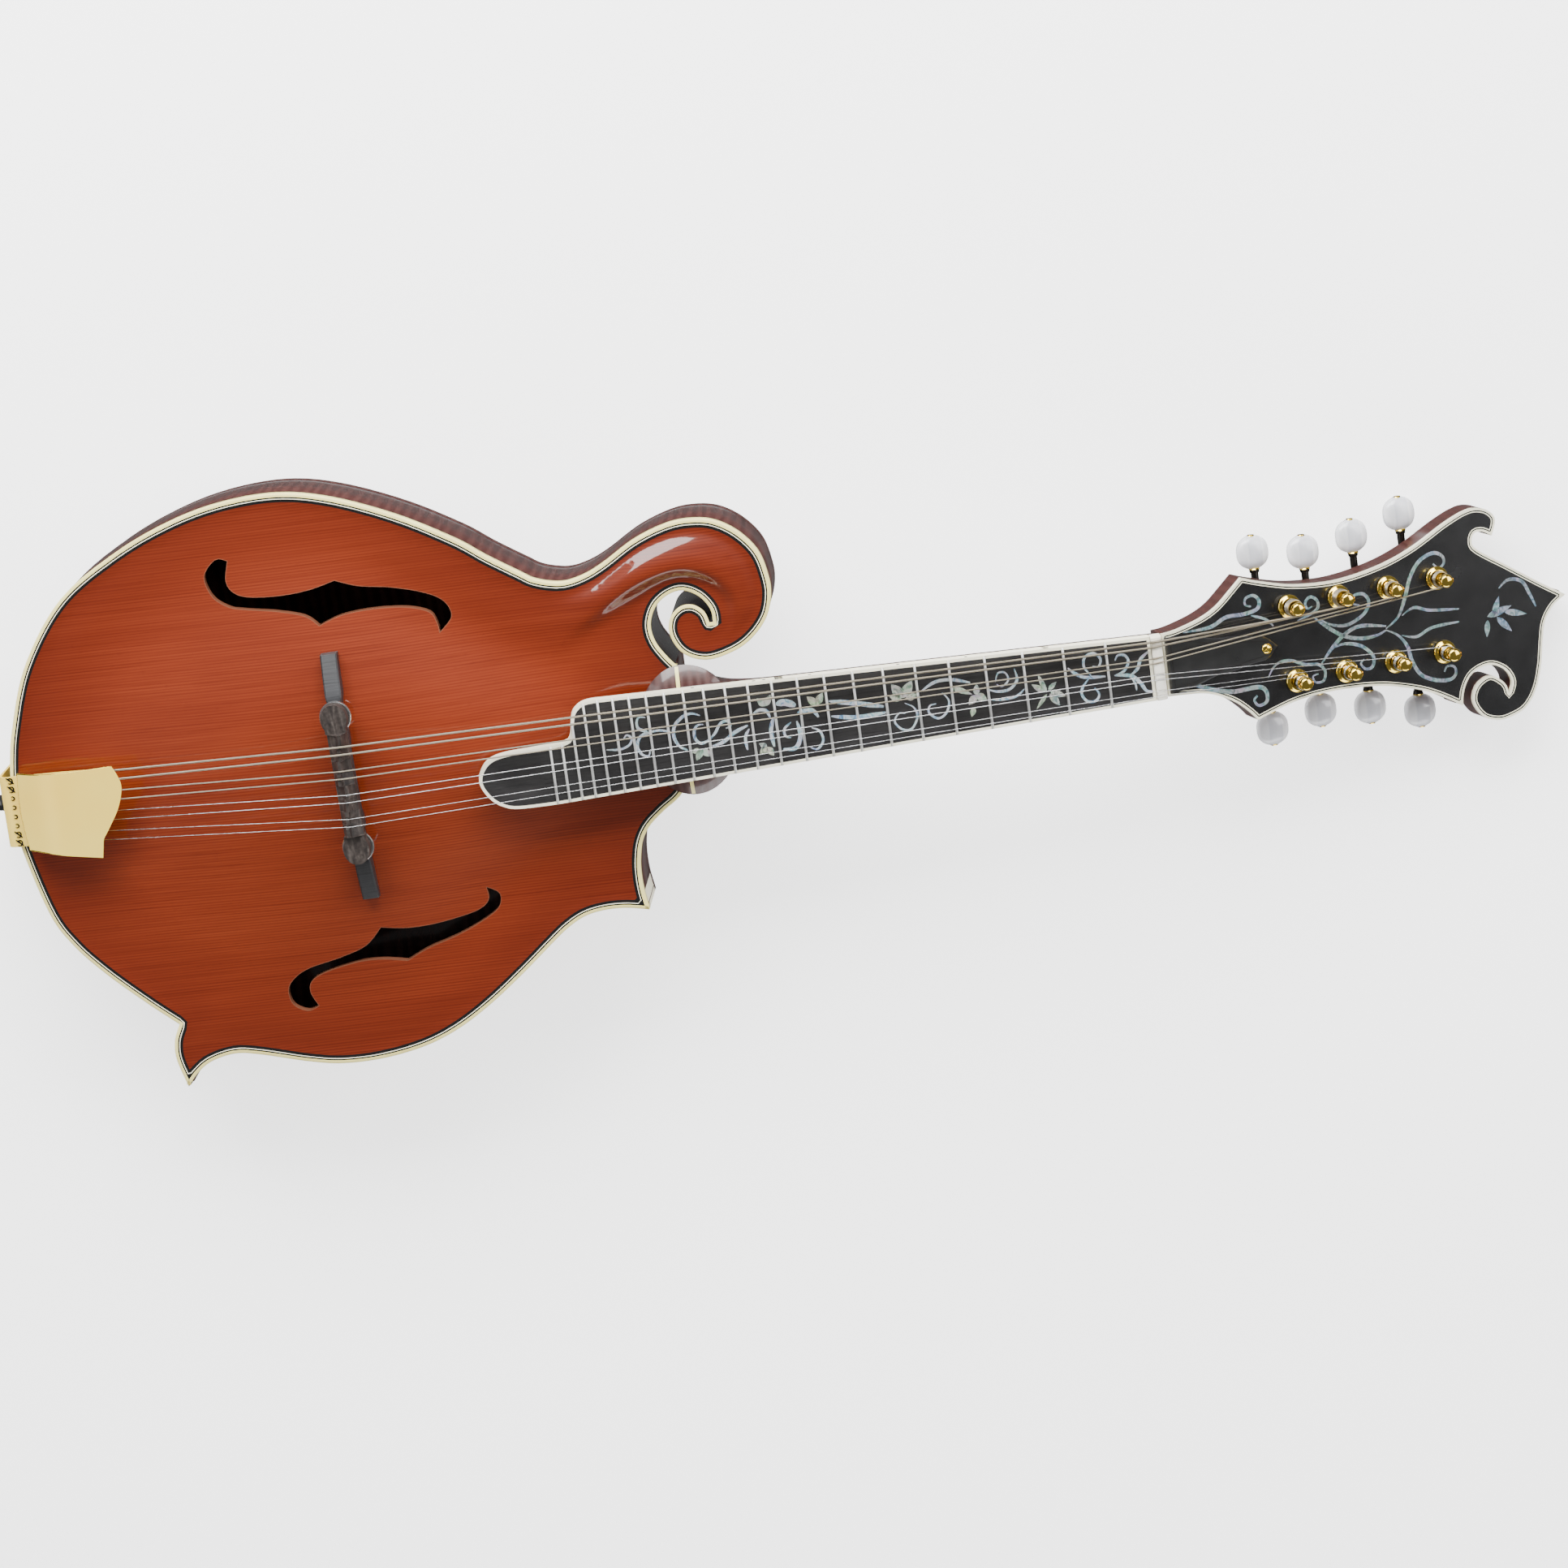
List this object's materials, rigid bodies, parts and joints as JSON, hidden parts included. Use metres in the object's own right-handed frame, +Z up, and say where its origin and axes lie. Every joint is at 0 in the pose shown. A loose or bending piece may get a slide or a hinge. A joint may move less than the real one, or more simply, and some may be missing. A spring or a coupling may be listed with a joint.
{
  "type": "mandolin",
  "caption": "Scroll-body mandolin with carved arched plates, bound edges, f-holes, floating bridge, paired strings and geared tuners.",
  "frame": {"origin": "middle of the lying instrument's footprint, on the ground it lies on", "axes": "+X from the tail towards the headstock, +Y towards the bass side and its scroll, +Z up; the instrument lies on its back, tilted 3.97 degrees so that the back's dome and the headstock's tip touch the ground"},
  "size_m": [0.7088, 0.2592, 0.0921],
  "materials": {
    "top_varnish": "red-brown sunburst varnish over spruce",
    "maple_varnish": "dark mauve-brown varnish over figured maple",
    "spruce": "bare",
    "block_wood": "bare",
    "binding": "ivory-coloured, polished",
    "ebony": "oiled",
    "bone": "polished",
    "gold": "gold plated",
    "steel": "nickel plated",
    "black_plastic": "gloss",
    "wound_string": "bronze wound",
    "plain_string": "bright",
    "pearloid": "pearl-like"
  },
  "bodies": {
    "root": {"soundboard": "top_varnish", "back_plate": "maple_varnish", "ribs": "maple_varnish", "neck": "maple_varnish", "fingerboard_riser": "maple_varnish", "back_binding": "maple_varnish", "top_lining_bass": "spruce", "top_lining_treble": "spruce", "back_lining_bass": "spruce", "back_lining_treble": "spruce", "tone_bar_bass": "spruce", "tone_bar_treble": "spruce", "neck_block": "block_wood", "tail_block": "block_wood", "lower_point_block": "block_wood", "upper_point_block": "block_wood", "top_binding": "binding", "fingerboard": "ebony", "bridge_base": "ebony", "headstock_overlay": "ebony", "heel_cap": "ebony", "nut": "bone", "tailpiece_base": "gold", "truss_cover_screw": "gold", "tuner_plate_bass": "gold", "tuner_plate_treble": "gold", "truss_rod": "steel", "bridge_post_bass": "steel", "bridge_post_treble": "steel", "truss_rod_cover": "black_plastic", "strap_button": "black_plastic", "string_g_low": "wound_string", "string_g_high": "wound_string", "string_d_low": "wound_string", "string_d_high": "wound_string", "string_a_low": "plain_string", "string_a_high": "plain_string", "string_e_low": "plain_string", "string_e_high": "plain_string"},
    "button_bass_1": {"tuner_button_bass_1": "pearloid"},
    "post_bass_1": {"string_post_bass_1": "gold"},
    "button_bass_2": {"tuner_button_bass_2": "pearloid"},
    "post_bass_2": {"string_post_bass_2": "gold"},
    "button_bass_3": {"tuner_button_bass_3": "pearloid"},
    "post_bass_3": {"string_post_bass_3": "gold"},
    "button_bass_4": {"tuner_button_bass_4": "pearloid"},
    "post_bass_4": {"string_post_bass_4": "gold"},
    "button_treble_1": {"tuner_button_treble_1": "pearloid"},
    "post_treble_1": {"string_post_treble_1": "gold"},
    "button_treble_2": {"tuner_button_treble_2": "pearloid"},
    "post_treble_2": {"string_post_treble_2": "gold"},
    "button_treble_3": {"tuner_button_treble_3": "pearloid"},
    "post_treble_3": {"string_post_treble_3": "gold"},
    "button_treble_4": {"tuner_button_treble_4": "pearloid"},
    "post_treble_4": {"string_post_treble_4": "gold"},
    "saddle": {"bridge_saddle": "ebony"},
    "wheel_bass": {"thumbwheel_bass": "steel"},
    "wheel_treble": {"thumbwheel_treble": "steel"},
    "cover": {"tailpiece_cover": "gold"},
    "rod_nut": {"truss_rod_nut": "gold"}
  },
  "joints": [
    {"name": "button_bass_1_turn", "type": "hinge", "parent": "root", "child": "button_bass_1", "pos_m": [0.21635, 0.01995, 0.03408], "axis": [0, 1, 0], "continuous": true},
    {"name": "post_bass_1_turn", "type": "hinge", "parent": "root", "child": "post_bass_1", "pos_m": [0.22289, 0.01995, 0.0322], "axis": [0.2761, 0, 0.9611], "continuous": true},
    {"name": "button_bass_2_turn", "type": "hinge", "parent": "root", "child": "button_bass_2", "pos_m": [0.23903, 0.01995, 0.02757], "axis": [0, 1, 0], "continuous": true},
    {"name": "post_bass_2_turn", "type": "hinge", "parent": "root", "child": "post_bass_2", "pos_m": [0.24557, 0.01995, 0.02569], "axis": [0.2761, 0, 0.9611], "continuous": true},
    {"name": "button_bass_3_turn", "type": "hinge", "parent": "root", "child": "button_bass_3", "pos_m": [0.26171, 0.01995, 0.02105], "axis": [0, 1, 0], "continuous": true},
    {"name": "post_bass_3_turn", "type": "hinge", "parent": "root", "child": "post_bass_3", "pos_m": [0.26825, 0.01995, 0.01917], "axis": [0.2761, 0, 0.9611], "continuous": true},
    {"name": "button_bass_4_turn", "type": "hinge", "parent": "root", "child": "button_bass_4", "pos_m": [0.2844, 0.01995, 0.01453], "axis": [0, 1, 0], "continuous": true},
    {"name": "post_bass_4_turn", "type": "hinge", "parent": "root", "child": "post_bass_4", "pos_m": [0.29093, 0.01995, 0.01265], "axis": [0.2761, 0, 0.9611], "continuous": true},
    {"name": "button_treble_1_turn", "type": "hinge", "parent": "root", "child": "button_treble_1", "pos_m": [0.21635, -0.01345, 0.03408], "axis": [0, -1, 0], "continuous": true},
    {"name": "post_treble_1_turn", "type": "hinge", "parent": "root", "child": "post_treble_1", "pos_m": [0.22289, -0.01345, 0.0322], "axis": [0.2761, 0, 0.9611], "continuous": true},
    {"name": "button_treble_2_turn", "type": "hinge", "parent": "root", "child": "button_treble_2", "pos_m": [0.23903, -0.01345, 0.02757], "axis": [0, -1, 0], "continuous": true},
    {"name": "post_treble_2_turn", "type": "hinge", "parent": "root", "child": "post_treble_2", "pos_m": [0.24557, -0.01345, 0.02569], "axis": [0.2761, 0, 0.9611], "continuous": true},
    {"name": "button_treble_3_turn", "type": "hinge", "parent": "root", "child": "button_treble_3", "pos_m": [0.26171, -0.01345, 0.02105], "axis": [0, -1, 0], "continuous": true},
    {"name": "post_treble_3_turn", "type": "hinge", "parent": "root", "child": "post_treble_3", "pos_m": [0.26825, -0.01345, 0.01917], "axis": [0.2761, 0, 0.9611], "continuous": true},
    {"name": "button_treble_4_turn", "type": "hinge", "parent": "root", "child": "button_treble_4", "pos_m": [0.2844, -0.01345, 0.01453], "axis": [0, -1, 0], "continuous": true},
    {"name": "post_treble_4_turn", "type": "hinge", "parent": "root", "child": "post_treble_4", "pos_m": [0.29093, -0.01345, 0.01265], "axis": [0.2761, 0, 0.9611], "continuous": true},
    {"name": "saddle_height", "type": "slide", "parent": "root", "child": "saddle", "axis": [-0.0692, 0, 0.9976], "range_m": [-0.0012, 0]},
    {"name": "thumbwheel_bass_turn", "type": "hinge", "parent": "saddle", "child": "wheel_bass", "pos_m": [-0.1893, 0.03334, 0.08006], "axis": [-0.0692, 0, 0.9976], "range_deg": [-682, 1]},
    {"name": "thumbwheel_treble_turn", "type": "hinge", "parent": "saddle", "child": "wheel_treble", "pos_m": [-0.18789, -0.02464, 0.08016], "axis": [-0.0692, 0, 0.9976], "range_deg": [-682, 1]},
    {"name": "tailpiece_cover_slide", "type": "slide", "parent": "root", "child": "cover", "axis": [-0.9976, 0, -0.0692], "range_m": [0, 0.056]},
    {"name": "truss_rod_nut_turn", "type": "hinge", "parent": "root", "child": "rod_nut", "pos_m": [0.17367, 0.00435, 0.05943], "axis": [0.999, 0, -0.0441], "range_deg": [-180, 180]}
  ],
  "couplings": [
    {"joint": "post_bass_1_turn", "follows": "button_bass_1_turn", "ratio": 0.066667},
    {"joint": "post_bass_2_turn", "follows": "button_bass_2_turn", "ratio": 0.066667},
    {"joint": "post_bass_3_turn", "follows": "button_bass_3_turn", "ratio": 0.066667},
    {"joint": "post_bass_4_turn", "follows": "button_bass_4_turn", "ratio": 0.066667},
    {"joint": "post_treble_1_turn", "follows": "button_treble_1_turn", "ratio": -0.066667},
    {"joint": "post_treble_2_turn", "follows": "button_treble_2_turn", "ratio": -0.066667},
    {"joint": "post_treble_3_turn", "follows": "button_treble_3_turn", "ratio": -0.066667},
    {"joint": "post_treble_4_turn", "follows": "button_treble_4_turn", "ratio": -0.066667},
    {"joint": "thumbwheel_bass_turn", "follows": "saddle_height", "rad_per_m": 9894.8},
    {"joint": "thumbwheel_treble_turn", "follows": "saddle_height", "rad_per_m": 9894.8}
  ]
}
